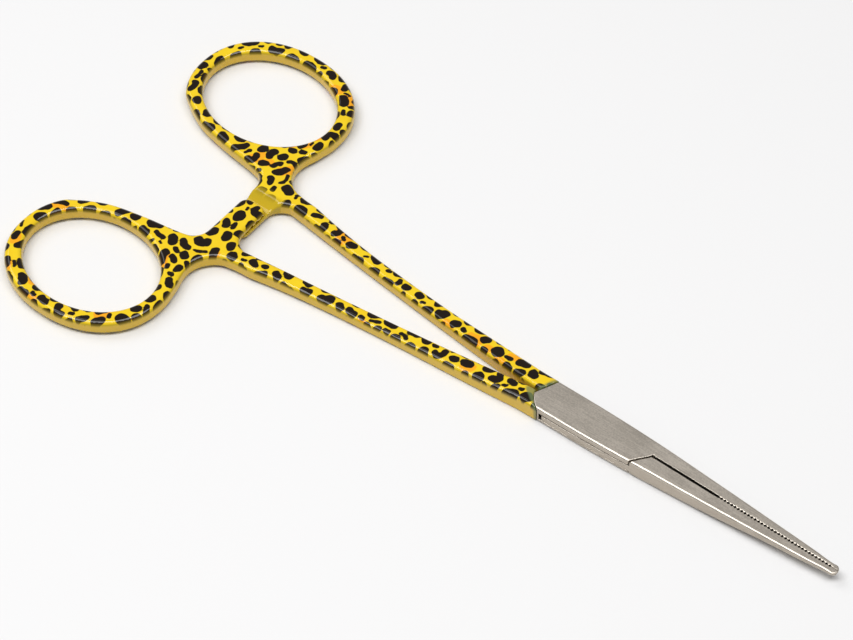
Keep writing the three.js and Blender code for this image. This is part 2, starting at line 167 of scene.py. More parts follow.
def spline(points, count):
    """Points along a uniform Catmull-Rom curve."""
    p = np.array(points, float)
    last = len(p) - 1
    found = []
    for s in np.linspace(0, last, count):
        i = min(int(s), last - 1)
        t = s - i
        a, b, c, d = p[max(i - 1, 0)], p[i], p[i + 1], p[min(i + 2, last)]
        if i == 0:
            a = b
        if i + 2 > last:
            d = c
        u, v = (c - a) / 2, (d - b) / 2
        cubic, square = 2 * b - 2 * c + u + v, -3 * b + 3 * c - 2 * u - v
        found.append(cubic * t**3 + square * t**2 + u * t + b)
    return found


def shank_inner(x):
    """Plan of a shank's inner edge; it spreads from the crotch backwards."""
    back = np.maximum(0, CROTCH_X - x)
    return CROTCH_HALF_GAP + SHANK_SPREAD * back + SHANK_CURVE * back * back


def shank_outer(x):
    return shank_inner(x) + along(SHANK_WIDTH, x)


def handle_outline():
    """Plan of shank, neck and ring, with the ring on the +Y side."""
    shank = np.linspace(SHANK_FRONT_X, NECK_FRONT_X, 40)
    points = [(x, float(shank_outer(x))) for x in shank]
    points += spline([points[-1]] + NECK_OUTER[::-1], 40)[1:]
    for a in np.linspace(*RING_SPAN, 110):
        c, s = math.cos(a), math.sin(a)
        power = 2 / RING_SQUARENESS
        points.append((RING_CENTRE[0] + RING_OUTER[0] * math.copysign(abs(c) ** power, c),
                       RING_CENTRE[1] + RING_OUTER[1] * math.copysign(abs(s) ** power, s)))
    inner_end = (NECK_FRONT_X, float(shank_inner(NECK_FRONT_X)))
    points += spline(NECK_INNER[::-1] + [inner_end], 60)
    points += [(x, float(shank_inner(x))) for x in shank[::-1][1:]]
    return points


def arc(centre, radius, start, end):
    return [(centre[0] + radius * math.cos(a), centre[1] + radius * math.sin(a))
            for a in np.linspace(start, end, 10)]


def bend(a, b, c):
    """Points along a curve from a to c that leaves towards b."""
    a, b, c = (np.array(p, float) for p in (a, b, c))
    return [(1 - t) ** 2 * a + 2 * t * (1 - t) * b + t * t * c for t in np.linspace(0, 1, 12)]


def arm_outline():
    """Plan of a ratchet arm, from the neck of its own handle to beyond the middle."""
    rear, front, low = ARM_REAR_X, ARM_FRONT_X, ARM_REACH_Y + ARM_CORNER
    points = [(rear - 2.8, 11.4)]
    points += bend((rear - 2.8, 8.75), (rear, 8.0), (rear, 5.4))
    points += arc((rear + ARM_CORNER, low), ARM_CORNER, math.pi, 1.5 * math.pi)
    points += arc((front - ARM_CORNER, low), ARM_CORNER, 1.5 * math.pi, 2 * math.pi)
    points += bend((front, 2.8), (front, 5.2), (front + 3.4, 5.95))
    points.append((front + 2.65, 8.2))
    return points


def distance_to(points, x, y):
    """Signed distance to a closed outline, negative inside."""
    p = np.array(points, float)
    best = np.full(x.shape, 1e9)
    inside = np.zeros(x.shape, bool)
    for a, b in zip(p, np.roll(p, -1, axis=0)):
        e = b - a
        length = float(e @ e)
        if length < 1e-12:
            continue
        wx, wy = x - a[0], y - a[1]
        t = np.clip((wx * e[0] + wy * e[1]) / length, 0, 1)
        best = np.minimum(best, (wx - t * e[0]) ** 2 + (wy - t * e[1]) ** 2)
        crosses = (a[1] > y) != (b[1] > y)
        if e[1]:
            inside ^= crosses & (x < a[0] + (y - a[1]) * e[0] / e[1])
    return np.where(inside, -1, 1) * np.sqrt(best)


class Plan:
    """A plan distance kept on a fine grid, blurred a little and read with cubic interpolation."""

    def __init__(self, function, low, high, step, blur):
        self.low, self.step = low, step
        gx = np.arange(low[0], high[0] + step, step)
        gy = np.arange(low[1], high[1] + step, step)
        grid = function(*np.meshgrid(gx, gy, indexing="ij"))
        reach = int(math.ceil(3 * blur / step))
        kernel = np.exp(-0.5 * (np.arange(-reach, reach + 1) * step / blur) ** 2)
        kernel /= kernel.sum()
        for axis in (0, 1):
            pad = [(reach, reach) if a == axis else (0, 0) for a in (0, 1)]
            wide = np.pad(grid, pad, mode="edge")
            grid = sum(k * np.take(wide, range(i, i + grid.shape[axis]), axis=axis)
                       for i, k in enumerate(kernel))
        self.grid = grid

    def __call__(self, x, y):
        x, y = np.broadcast_arrays(x, y)
        u, v = (x - self.low[0]) / self.step, (y - self.low[1]) / self.step
        i = np.clip(np.floor(u).astype(int), 1, self.grid.shape[0] - 3)
        j = np.clip(np.floor(v).astype(int), 1, self.grid.shape[1] - 3)
        wu, wv = self.weights(np.clip(u - i, -1, 2)), self.weights(np.clip(v - j, -1, 2))
        total = 0
        for a in range(4):
            row = sum(wv[b] * self.grid[i + a - 1, j + b - 1] for b in range(4))
            total = total + wu[a] * row
        return total

    @staticmethod
    def weights(t):
        return (((2 - t) * t - 1) * t / 2, ((3 * t - 5) * t * t + 2) / 2,
                ((4 - 3 * t) * t + 1) * t / 2, (t - 1) * t * t / 2)


# ---- fields: negative inside, about one per millimetre ----------------------------------------

def both(a, b, round_off):
    """Overlap of two fields, with its edge rounded off."""
    return np.maximum(a, b) + np.maximum(round_off - np.abs(a - b), 0) ** 2 / (4 * round_off)


def either(a, b, fillet):
    """Union of two fields, with a fillet between them."""
    return -both(-a, -b, fillet)


def corner(side, rise, width, height, facet=0.0):
    """Elliptical edge between a side and a face, with a polished facet of the given width."""
    u, v = side / width + 1, rise / height + 1
    shape = (np.hypot(np.maximum(u, 0), np.maximum(v, 0)) - 1) * height
    if facet:
        s, c = math.sin(FACET_TILT), math.cos(FACET_TILT)
        radius = np.hypot(width * s, height * c)
        depth = facet**2 / (8 * radius)
        plane = side * s + rise * c + width * s + height * c - radius
        shape = np.maximum(shape, plane + depth)
    return shape


def rounded(side, z, low, high, top, under):
    """Slab between two heights; `top` and `under` are the sizes of its rounded edges."""
    return np.maximum(corner(side, z - high, *top), corner(side, low - z, *under))


def make_handle_plans():
    turn = np.linspace(0, 2 * math.pi, 160, endpoint=False)
    opening = [(OPENING_CENTRE[0] + OPENING[0] * math.cos(a),
                OPENING_CENTRE[1] + OPENING[1] * math.sin(a)) for a in turn]

    def main(x, y):
        return np.maximum(distance_to(handle_outline(), x, y), -distance_to(opening, x, y))

    def arm(x, y):
        return distance_to(arm_outline(), x, y)

    return (Plan(main, (-98, -5), (-3, 36.5), 0.2, blur=0.22),
            Plan(arm, (-76, -6), (-59, 14), 0.15, blur=0.15))


MAIN_PLAN, ARM_PLAN = make_handle_plans()


def arm_cut(y, is_upper):
    """Height of the facing side of a ratchet arm, with its teeth and the ramp to full thickness."""
    face = ARM_FACE_HIGH if is_upper else ARM_FACE_LOW
    way = 1 if is_upper else -1
    t = (y - RATCHET_START_Y) / RATCHET_PITCH
    toothed = (t > 0) & (t < RATCHET_TEETH)
    f = t - np.floor(t)
    saw = np.where(f < 0.25, f / 0.25, (1 - f) / 0.75)
    depth = np.where(toothed, saw * RATCHET_DEPTH, 0)
    return face + way * depth - way * smooth(y, *ARM_RAMP) * ARM_RAMP_DEPTH


def handle_field(is_upper, inset=0.0):
    """Ring, shank and ratchet arm, ring on +Y; `inset` makes the handle smaller all round."""
    def field(x, y, z):
        low = along(SHANK_UNDERSIDE, x) + inset
        high = along(SHANK_TOP, x) - inset
        edge = along(TOP_EDGE, x)
        foot = along(UNDER_EDGE, x)
        under = (foot, foot)
        main = rounded(MAIN_PLAN(x, y) + inset, z, low, high, (edge, edge, HANDLE_FACET), under)
        blank = rounded(ARM_PLAN(x, y) + inset, z, RING_UNDERSIDE + inset, RING_TOP - inset,
                        (ARM_EDGE, ARM_EDGE, HANDLE_FACET), under)
        cut = arm_cut(y, is_upper)
        facing = (cut - z) if is_upper else (z - cut)
        arm = both(blank, (facing + inset) * 0.85, 0.22)
        return either(main, arm, 0.08)
    return field


def half_plane(line, shift):
    """Positive in front of a seam line, which runs from a to b with the rear on its left."""
    a, b = (np.array(p, float) for p in line)
    d = (b - a) / np.linalg.norm(b - a)

    def distance(x, y):
        return (x - a[0]) * d[1] - (y - a[1]) * d[0] + shift
    return distance


def box_coat_front(x, y):
    """Positive in front of the curved end of the lacquer on the box half, ring on +Y."""
    ends = [(y_, x_) for x_, y_ in BOX_COAT_END]
    return (x - along(ends, y)) * BOX_COAT_COSINE


def lacquer_field(is_upper):
    handle = handle_field(is_upper)
    rear_of_seam = half_plane(REAR_SEAM, SEAM_GAP)

    def field(x, y, z):
        front = box_coat_front(x, y) if is_upper else rear_of_seam(x, y)
        return both(handle(x, y, z), front, 0.22)
    return field


def jaw_taper(x):
    """How far the jaws' faces have come in from those of the box, above and below."""
    share = np.clip((x - TAPER_START_X) / (TIP_X - TAPER_START_X), 0, 1)
    return share * (BOX_THICKNESS - TIP_THICKNESS) / 2


def body_field(x, y, z):
    """Box and both jaws as one body, before the seams are cut."""
    side = (np.abs(y) - along(HALF_WIDTH, x)) * TAPER_COSINE
    tip = np.hypot((x - TIP_START_X) / (TIP_X - TIP_START_X), y / TIP_HALF_WIDTH) - 1
    side = np.where(x < TIP_START_X, side, tip * TIP_HALF_WIDTH)
    taper = jaw_taper(x)
    width = np.interp(x, [TAPER_START_X, TIP_X - 1.2, TIP_X - 0.4], [0.42, 0.34, 0.14])
    foot = smooth(x, *JAW_FOOT_X)
    low, high = taper + JAW_FOOT_RISE * foot, BOX_THICKNESS - taper
    top = (width, width * 1.2, JAW_FACET)
    return rounded(side, z, low, high, top, (0.5 + 0.34 * foot, 0.56 + 0.36 * foot))


def parting_line(side):
    """Edge of a jaw along the parting line: the slit, then teeth with diamond gaps between them."""
    slit, front = SLIT_Y + side * SLIT_HALF_GAP, SLIT_Y + side * CLOSED_HALF_GAP
    root, tip = SLIT_Y + side * TOOTH_ROOT, SLIT_Y - 0.01 + side * 0.012
    points = [(FRONT_SEAM[0][0], slit), (TEETH_START_X - 0.3, slit)]
    for i in range(TOOTH_COUNT):
        for share, y in ((0.12, tip), (0.5, root), (0.88, tip)):
            points.append((TEETH_START_X + i * TOOTH_PITCH + share * TOOTH_PITCH, y))
    return points + [(TEETH_END_X + 0.3, front), (BEYOND_TIP_X, front)]


def extended(line, length):
    """Point on a line from a to b, the given length beyond b."""
    a, b = (np.array(p, float) for p in line)
    return tuple(b + (b - a) / np.linalg.norm(b - a) * length)


def steel_plans():
    """Plans of the box half, the other jaw, the slot through the box and the tongue in it.

    Points 8 mm to the side or 16 mm along only have to lie outside the piece they bound or cut.
    """
    coat_end = [(x, -y) for x, y in BOX_COAT_END[1:]]
    box = coat_end + spline(FRONT_SEAM, 24)[::-1] + parting_line(1)
    box += [(BEYOND_TIP_X, 8), extended(REAR_SEAM, 5), REAR_SEAM[0]]
    jaw_side = SLIT_Y - SLIT_HALF_GAP
    seam = [(x + FRONT_SEAM_SHIFT[0], y + FRONT_SEAM_SHIFT[1]) for x, y in spline(FRONT_SEAM, 24)]
    seam[0] = (seam[0][0], jaw_side)
    jaw = seam + [(BEYOND_TIP_X, -8)] + parting_line(-1)[:0:-1]
    slot = [extended(REAR_ROOT, 8), (16, -8), (16, jaw_side), FRONT_ROOT[0],
            extended(FRONT_ROOT, 8), (-16, 8), (-16, REAR_ROOT[0][1]), REAR_ROOT[0]]
    gap = TONGUE_ROOT_GAP
    rear = [(x + gap, y + gap) for x, y in REAR_ROOT]
    front = [(x - gap, y - gap) for x, y in FRONT_ROOT]
    tongue = [extended(rear, 8), (TONGUE_FRONT_X, -8), (TONGUE_FRONT_X, -2 * SLIT_HALF_GAP),
              (front[0][0], jaw_side), front[0], extended(front, 8), *TONGUE_REAR,
              (rear[0][0], rear[0][1] + 2 * gap)]

    def plan(points):
        return Plan(lambda x, y: distance_to(points, x, y), (-17, -5), (47, 5), 0.05, blur=0.03)
    return [plan(p) for p in (box, jaw, slot, tongue)]


BOX_PLAN, JAW_PLAN, SLOT_PLAN, TONGUE_PLAN = steel_plans()


def between(z, low, high):
    return np.abs(z - (low + high) / 2) - (high - low) / 2


def slot_field(x, y, z):
    return np.maximum(SLOT_PLAN(x, y), between(z, SLOT_BOTTOM, SLOT_TOP))


def parting_edge(x, at_tips):
    """Rounding of the edges at the parting line: wide at the tooth tips, fine elsewhere."""
    crest = 0.5 + 0.5 * np.cos(2 * math.pi * (x - TEETH_START_X) / TOOTH_PITCH)
    toothed = (x > TEETH_START_X - 0.2) & (x < TEETH_END_X + 0.2)
    front_seam = smooth(x, 11.6, 11.0)
    return np.where(toothed, 0.04 + at_tips * crest, 0.035 + 0.06 * front_seam)


def box_half_field(x, y, z):
    shape = both(body_field(x, y, z), BOX_PLAN(x, y), parting_edge(x, BOX_TOOTH_EDGE))
    shape = both(shape, -slot_field(x, y, z), 0.04)
    return np.maximum(shape, PIN_RADIUS - PIN_INSET - np.hypot(x, y))


def tongue_half_field(x, y, z):
    body = body_field(x, y, z)
    jaw = both(body, JAW_PLAN(x, y), parting_edge(x, TONGUE_TOOTH_EDGE))
    band = between(z, SLOT_BOTTOM + TONGUE_GAP_UNDER, SLOT_TOP - TONGUE_GAP_OVER)
    web = both(body, both(TONGUE_PLAN(x, y), band, 0.04), 0.04)
    bore = PIN_RADIUS + PIN_TONGUE_GAP - np.hypot(x, y)
    return both(np.minimum(jaw, web), bore, 0.02)


def core_field(is_upper):
    """Steel of the handle under the lacquer, ring on +Y."""
    handle = handle_field(is_upper, CORE_INSET)
    rear_of_seam = half_plane(REAR_SEAM, SEAM_GAP + CORE_SETBACK)

    def field(x, y, z):
        if is_upper:
            front = box_coat_front(x, y) - CORE_OVERRUN
            return np.maximum(np.maximum(handle(x, y, z), front), -slot_field(x, -y, z))
        return np.maximum(handle(x, y, z), rear_of_seam(x, y))
    return field


# ---- surface net ------------------------------------------------------------------------------

LAYERS_AT_ONCE = 80
CORNERS = list(itertools.product((0, 1), repeat=3))
EDGES = [(a, b) for a in CORNERS for b in CORNERS
         if sum(b) - sum(a) == 1 and all(x <= y for x, y in zip(a, b))]


def slope(field, p, h):
    """Gradient of a field at points, from differences over a distance h either way."""
    g = np.empty_like(p)
    for axis in range(3):
        ahead, behind = p.copy(), p.copy()
        ahead[:, axis] += h
        behind[:, axis] -= h
        g[:, axis] = (field(*ahead.T) - field(*behind.T)) / (2 * h)
    return g


def surface_net(field, low, high, step):
    """Points, quads and normals of the surface where the field is zero."""
    axes = [np.arange(a, b + step, step) for a, b in zip(low, high)]
    shape = tuple(len(a) for a in axes)
    value = np.empty(shape, np.float32)
    for start in range(0, shape[0], LAYERS_AT_ONCE):
        part = slice(start, start + LAYERS_AT_ONCE)
        x, y, z = axes[0][part, None, None], axes[1][None, :, None], axes[2][None, None, :]
        value[part] = field(x, y, z)
    inside = value < 0
    n = [s - 1 for s in shape]
    count = sum(inside[a:a + n[0], b:b + n[1], c:c + n[2]].astype(np.int8) for a, b, c in CORNERS)
    active = (count > 0) & (count < 8)
    index = np.full(active.shape, -1)
    cell = np.argwhere(active)
    index[active] = np.arange(len(cell))
    total, hits = np.zeros((len(cell), 3)), np.zeros(len(cell))
    for a, b in EDGES:
        va = value[tuple((cell + a).T)]
        vb = value[tuple((cell + b).T)]
        crossed = (va < 0) != (vb < 0)
        t = np.where(crossed, va / np.where(crossed, va - vb, 1), 0)
        total += crossed[:, None] * (np.array(a) + t[:, None] * (np.array(b) - np.array(a)))
        hits += crossed
    points = np.array(low) + step * (cell + total / hits[:, None])
    quads = []
    for axis in range(3):
        b, c = (axis + 1) % 3, (axis + 2) % 3
        first = np.take(inside, range(0, shape[axis] - 1), axis=axis)
        second = np.take(inside, range(1, shape[axis]), axis=axis)
        for outward, found in ((True, first & ~second), (False, second & ~first)):
            edge = np.argwhere(found)
            eb, ec = edge[:, b], edge[:, c]
            edge = edge[(eb > 0) & (ec > 0) & (eb < n[b]) & (ec < n[c])]
            ring = []
            for db, dc in ((-1, -1), (0, -1), (0, 0), (-1, 0)):
                at = edge.copy()
                at[:, b] += db
                at[:, c] += dc
                ring.append(index[tuple(at.T)])
            ring = np.stack(ring, 1)
            quads.append(ring if outward else ring[:, ::-1])
    quads = np.concatenate(quads)
    for _ in range(5):
        g = slope(field, points, step * 0.1)
        move = -(field(*points.T) / np.maximum((g * g).sum(1), 0.05))[:, None] * g
        size = np.linalg.norm(move, axis=1, keepdims=True)
        points = points + move * np.minimum(1, 0.4 * step / np.maximum(size, 1e-9))
    g = slope(field, points, step * 0.35)
    normals = g / np.maximum(np.linalg.norm(g, axis=1, keepdims=True), 1e-9)
    return points, quads, normals


def flipped(points, quads, normals):
    """The same surface with +Y and -Y exchanged."""
    turn = np.array([1, -1, 1])
    return points * turn, quads[:, ::-1], normals * turn


def joined(*parts):
    points, quads, normals, offset = [], [], [], 0
    for p, q, n in parts:
        points.append(p)
        quads.append(q + offset)
        normals.append(n)
        offset += len(p)
    return np.concatenate(points), np.concatenate(quads), np.concatenate(normals)


def link(name, data):
    obj = bpy.data.objects.new(name, data)
    bpy.context.scene.collection.objects.link(obj)
    return obj


def set_attribute(mesh, name, values):
    attribute = mesh.attributes.new(name, "FLOAT", "POINT")
    attribute.data.foreach_set("value", np.asarray(values, np.float32))


def make_object(name, points, quads, normals, material, attributes):
    mesh = bpy.data.meshes.new(name)
    mesh.vertices.add(len(points))
    mesh.vertices.foreach_set("co", (points * MM).astype(np.float32).ravel())
    mesh.loops.add(quads.size)
    mesh.loops.foreach_set("vertex_index", quads.astype(np.int32).ravel())
    mesh.polygons.add(len(quads))
    mesh.polygons.foreach_set("loop_start", np.arange(0, quads.size, 4, dtype=np.int32))
    mesh.update(calc_edges=True)
    mesh.polygons.foreach_set("use_smooth", np.ones(len(quads), bool))
    for key, values in attributes.items():
        set_attribute(mesh, key, values)
    mesh.normals_split_custom_set_from_vertices(normals.tolist())
    mesh.materials.append(material)
    return link(name, mesh)


# ---- animal print: distance to the nearest spot, in millimetres -------------------------------

# Rounds of spots, big ones first: how many are tried, their radius and their least distance.
SPOT_ROUNDS = ((9000, 0.80, 0.13), (12000, 0.63, 0.11), (14000, 0.47, 0.10), (14000, 0.34, 0.09))
LINKS, LINK_SHARES = (2, 3, 4, 5, 6), (0.24, 0.32, 0.22, 0.12, 0.10)
LINK_LENGTH = 0.46
PRINT_X, PRINT_Y, PRINT_MARGIN = (-96, -5), (-4, 35), 0.4
SPOT_WINDOW = (1.6, 3.0)                # a spot's distance is worked out this far off in x and y
FAR = 3.0                               # distance where no spot is near
RING_PART = (-66, 8)                    # the print follows the ring behind this x, outside this y
ARM_PART = (-63, 8)                     # and the ratchet arm behind this x, inside this y


def strip_angle(x, y):
    """Direction in which a handle runs at a point, ring on +Y."""
    if x < RING_PART[0] and y > RING_PART[1]:
        across_x = (x - RING_CENTRE[0]) / RING_OUTER[0] ** 2
        across_y = (y - RING_CENTRE[1]) / RING_OUTER[1] ** 2
        return math.atan2(across_y, across_x) + math.pi / 2
    if x < ARM_PART[0] and y < ARM_PART[1]:
        return math.pi / 2
    return -math.atan(SHANK_SPREAD - 2 * SHANK_CURVE * x)


def drawn_spots(rng, count, size, gap, taken):
    """Spots as chains of circles (x, y, radius), each kept clear of the ones already there."""
    px, py = rng.uniform(*PRINT_X, count), rng.uniform(*PRINT_Y, count)
    on_handle = np.minimum(MAIN_PLAN(px, py), ARM_PLAN(px, py)) < PRINT_MARGIN
    spots = []
    for x, y in zip(px[on_handle], py[on_handle]):
        links = rng.choice(LINKS, p=LINK_SHARES)
        fat = size * rng.uniform(0.84, 1.16) * (0.8 if links > 4 else 1.0)
        turn = strip_angle(x, y) + rng.normal(0, 0.5)
        curl = rng.normal(0, 0.25) if links < 6 else rng.choice([-0.6, 0.6])
        chain = []
        for _ in range(links):
            chain.append((x, y, fat * rng.uniform(0.84, 1.08)))
            x += LINK_LENGTH * math.cos(turn)
            y += LINK_LENGTH * math.sin(turn)
            turn += curl
        chain = np.array(chain)
        others = taken[np.abs(taken[:, 0] - x) < 5]
        apart = np.hypot(chain[:, None, 0] - others[:, 0], chain[:, None, 1] - others[:, 1])
        if len(others) and (apart - chain[:, None, 2] - others[:, 2]).min() < gap:
            continue
        taken = np.concatenate([taken, chain])
        spots.append(chain)
    return spots, taken


def spot_field(spots, x, y):
    """Distance in the plan to the nearest spot, negative inside."""
    order = np.argsort(x)
    sx, sy = x[order], y[order]
    nearest = np.full(x.shape, FAR)
    for chain in spots:
        rear, front = chain[:, 0].min() - SPOT_WINDOW[0], chain[:, 0].max() + SPOT_WINDOW[0]
        part = np.arange(*np.searchsorted(sx, (rear, front)))
        part = part[np.abs(sy[part] - chain[:, 1].mean()) < SPOT_WINDOW[1]]
        found = np.full(part.shape, FAR)
        for px, py, radius in chain:
            found = either(found, np.hypot(sx[part] - px, sy[part] - py) - radius, 0.2)
        nearest[order[part]] = np.minimum(nearest[order[part]], found)
    return nearest


def animal_print(x, y, seed):
    """Distances to the dark spots and to the orange patches, negative inside them."""
    rng = np.random.default_rng(seed)
    taken = np.zeros((0, 3))
    dark = []
    for count, size, gap in SPOT_ROUNDS:
        more, taken = drawn_spots(rng, count, size, gap, taken)
        dark += more
    chosen = rng.choice(len(dark), len(dark) // 9, replace=False)
    orange = [dark[i] + np.array([0.45, 0.55, 0.15]) for i in chosen]
    wx = x + 0.08 * np.sin(2.3 * y + 1.1 * x + seed) + 0.04 * np.sin(5.1 * x - 3.7 * y)
    wy = y + 0.08 * np.sin(2.0 * x - 1.3 * y + 2 * seed) + 0.04 * np.sin(4.3 * y + 4.1 * x)
    return spot_field(dark, wx, wy), spot_field(orange, wx, wy)


# ---- materials --------------------------------------------------------------------------------

class Nodes:
    """Short way of writing a node material."""

    def __init__(self, name):
        self.material = bpy.data.materials.new(name)
        self.material.use_nodes = True
        self.tree = self.material.node_tree
        self.tree.nodes.clear()

    def add(self, kind, inputs=None, **settings):
        node = self.tree.nodes.new(kind)
        for key, value in settings.items():
            setattr(node, key, value)
        for key, value in (inputs or {}).items():
            self.feed(node.inputs[key], value)
        return node

    def feed(self, socket, value):
        if isinstance(value, bpy.types.NodeSocket):
            self.tree.links.new(value, socket)
        else:
            socket.default_value = value

    def math(self, operation, *values):
        return self.add("ShaderNodeMath", dict(enumerate(values)), operation=operation).outputs[0]

    def ramp(self, value, low, high, to_low=0.0, to_high=1.0):
        """Smooth step of a value between two limits."""
        inputs = {0: value, 1: low, 2: high, 3: to_low, 4: to_high}
        return self.add("ShaderNodeMapRange", inputs, interpolation_type="SMOOTHSTEP").outputs[0]

    def mix(self, factor, a, b):
        return self.add("ShaderNodeMix", {0: factor, 6: a, 7: b}, data_type="RGBA").outputs[2]

    def attribute(self, name):
        return self.add("ShaderNodeAttribute", attribute_name=name).outputs["Fac"]

    def place(self, scale, turn=0.0):
        coordinates = self.add("ShaderNodeTexCoord").outputs["Object"]
        inputs = {"Vector": coordinates, "Scale": scale, "Rotation": (0, 0, turn)}
        return self.add("ShaderNodeMapping", inputs).outputs[0]

    def noise(self, vector, scale, detail=2.0, roughness=0.5):
        inputs = {"Vector": vector, "Scale": scale, "Detail": detail, "Roughness": roughness}
        return self.add("ShaderNodeTexNoise", inputs).outputs["Fac"]

    def surface(self, shader):
        output = self.add("ShaderNodeOutputMaterial")
        self.tree.links.new(shader.outputs[0], output.inputs["Surface"])
        return self.material


def rgb(r, g, b):
    return (r, g, b, 1.0)


def brushed_steel(name):
    """Satin steel, with painted shade: darker on upright sides (low lift) and inside its gaps
    (depth).
    """
    n = Nodes(name)
    brush = n.noise(n.place((260, 5200, 1200), 0.06), 1.0, 3.0, 0.6)
    speckle = n.noise(n.place((3600, 3600, 3600)), 1.0, 2.0, 0.65)
    cloud = n.noise(n.place((160, 260, 260)), 1.0, 2.0)
    tone = n.math("ADD", n.math("MULTIPLY", brush, 0.5), n.math("MULTIPLY", speckle, 0.5))
    tone = n.math("ADD", n.math("MULTIPLY", tone, 0.8), n.math("MULTIPLY", cloud, 0.2))
    flat = n.mix(n.ramp(tone, 0.36, 0.64), rgb(0.55, 0.50, 0.435), rgb(0.76, 0.695, 0.61))
    # Painted shade: upright sides (low lift) get a darker mix of the steel colour.
    side = n.mix(0.62, flat, rgb(0.34, 0.29, 0.225))
    colour = n.mix(n.ramp(n.attribute("lift"), 0.05, 0.6), side, flat)
    # Painted shade: the steel darkens below the body's surface, in the jaws' slit, seams and teeth
    # and under the slot's roof.
    colour = n.mix(n.ramp(n.attribute("depth"), 0.1, 0.26), colour, rgb(0.17, 0.155, 0.135))
    rough = n.math("ADD", 0.3, n.math("MULTIPLY", tone, 0.16))
    bump = n.add("ShaderNodeBump", {"Strength": 0.22, "Distance": 0.00002, "Height": tone})
    shader = n.add("ShaderNodeBsdfPrincipled", {
        "Base Color": colour, "Metallic": 1.0, "Roughness": rough, "Normal": bump.outputs[0],
    })
    return n.surface(shader)


def printed_lacquer(name):
    """Glossy yellow lacquer with dark spots and orange patches; bare on its sides, which painted
    shade makes darker.
    """
    n = Nodes(name)
    lift = n.attribute("lift")
    ragged = n.noise(n.place((1500, 1500, 1500)), 1.0, 2.0)
    wobble = n.math("MULTIPLY", n.math("SUBTRACT", ragged, 0.5), 0.10)
    spot = n.ramp(n.math("ADD", n.attribute("spot"), wobble), -0.05, 0.05, 1.0, 0.0)
    patch = n.ramp(n.math("ADD", n.attribute("patch"), wobble), -0.1, 0.1, 1.0, 0.0)
    cloud = n.noise(n.place((420, 420, 420)), 1.0, 2.0)
    fine = n.noise(n.place((6000, 6000, 6000)), 1.0, 2.0)
    yellow = n.mix(cloud, rgb(0.76, 0.49, 0.009), rgb(0.82, 0.61, 0.014))
    orange = n.mix(cloud, rgb(0.84, 0.33, 0.008), rgb(0.88, 0.41, 0.011))
    # Painted shade: the sides are olive where they round over into the top or underside and tan
    # where they stand upright.
    shaded_wall = n.mix(n.ramp(lift, 0.02, 0.55), rgb(0.74, 0.49, 0.04), rgb(0.46, 0.34, 0.008))
    shaded_wall = n.mix(n.math("MULTIPLY", cloud, 0.3), shaded_wall, rgb(0.60, 0.36, 0.03))
    brown = n.mix(fine, rgb(0.004, 0.0015, 0.0005), rgb(0.010, 0.004, 0.001))
    top = n.mix(patch, yellow, orange)
    ground = n.mix(n.ramp(lift, 0.4, 0.82), shaded_wall, top)
    colour = n.mix(n.math("MULTIPLY", spot, n.attribute("printed")), ground, brown)
    uneven = n.math("MULTIPLY", n.math("SUBTRACT", cloud, 0.5), 0.7)
    end = n.math("ADD", n.attribute("end"), uneven)
    pooled = n.ramp(end, 0.1, 0.75, 0.8, 0.0)
    colour = n.mix(pooled, colour, rgb(0.13, 0.17, 0.07))
    peel = n.noise(n.place((900, 900, 900)), 1.0, 2.0)
    bump = n.add("ShaderNodeBump", {"Strength": 0.05, "Distance": 0.00005, "Height": peel})
    shader = n.add("ShaderNodeBsdfPrincipled", {
        "Base Color": colour, "Roughness": 0.4, "IOR": 1.5, "Specular IOR Level": 0.0,
        "Coat Weight": 1.0, "Coat Roughness": 0.06, "Coat IOR": 1.45,
        "Coat Normal": bump.outputs[0],
    })
    return n.surface(shader)


STEEL = brushed_steel("forged_steel_satin")
PIN_STEEL = brushed_steel("pin_steel_satin")
LACQUER = printed_lacquer("printed_yellow_lacquer")


# ---- pieces -----------------------------------------------------------------------------------

ARM_BAND_X = (-73, -64.6)               # where a ratchet arm meets its neck
UNDERSIDE_SEED = 50                     # added to a print's seed for its underside
END_POOL = (0.9, 0.8, 0.9)              # y, spread and reach of the box half's darker skin end
SLOT_ROOF = (1.9, 2.2)                  # heights between which the slot's wall gets painted shade


def lacquer_piece(name, is_upper, seed):
    """Lacquer skin; its attributes tell the material where the print, sides and front end are."""
    net = surface_net(lacquer_field(is_upper), *HANDLE_BOX, HANDLE_STEP)
    points, _, normals = net
    x, y, z = points.T
    lift = np.abs(normals[:, 2])
    low, high = along(SHANK_UNDERSIDE, x), along(SHANK_TOP, x)
    share_up = (z - low) / (high - low)
    at_arm = (x > ARM_BAND_X[0]) & (x < ARM_BAND_X[1])
    # Painted shade: the box half's arm below 2 mm and the tongue half's arm get the sides' darker
    # colour; the tongue half's arm also loses its print away from its neck.
    if is_upper:
        lift = np.where(at_arm & (z < 2.0) & (y < 6), 0.0, lift)
    else:
        on_arm = at_arm & (z > 1.0)
        lift = np.where(on_arm, 0.5 + (lift - 0.5) * smooth(y, 5.2, 6.9), lift)
    upper = np.maximum(smooth(lift, 0.35, 0.8), smooth(share_up, 0.6, 0.94))
    printed = np.where(share_up > 0.5, upper, smooth(lift, 0.8, 0.97))
    if not is_upper:
        printed = np.where(on_arm, printed * smooth(y, 4.4, 6.9), printed)
    upward = (normals[:, 2] > 0.3) | ((normals[:, 2] > -0.3) & (share_up > 0.5))
    prints = zip(animal_print(x, y, seed), animal_print(x, y, seed + UNDERSIDE_SEED))
    spot, patch = (np.where(upward, top, below) for top, below in prints)
    if is_upper:
        middle, spread, reach = END_POOL
        end = -box_coat_front(x, y) - reach * np.exp(-((y - middle) / spread) ** 2)
        net = flipped(*net)
    else:
        end = -half_plane(REAR_SEAM, SEAM_GAP)(x, y)
    attributes = {"spot": spot, "patch": patch, "lift": lift, "printed": printed, "end": end}
    return make_object(name, *net, LACQUER, attributes)


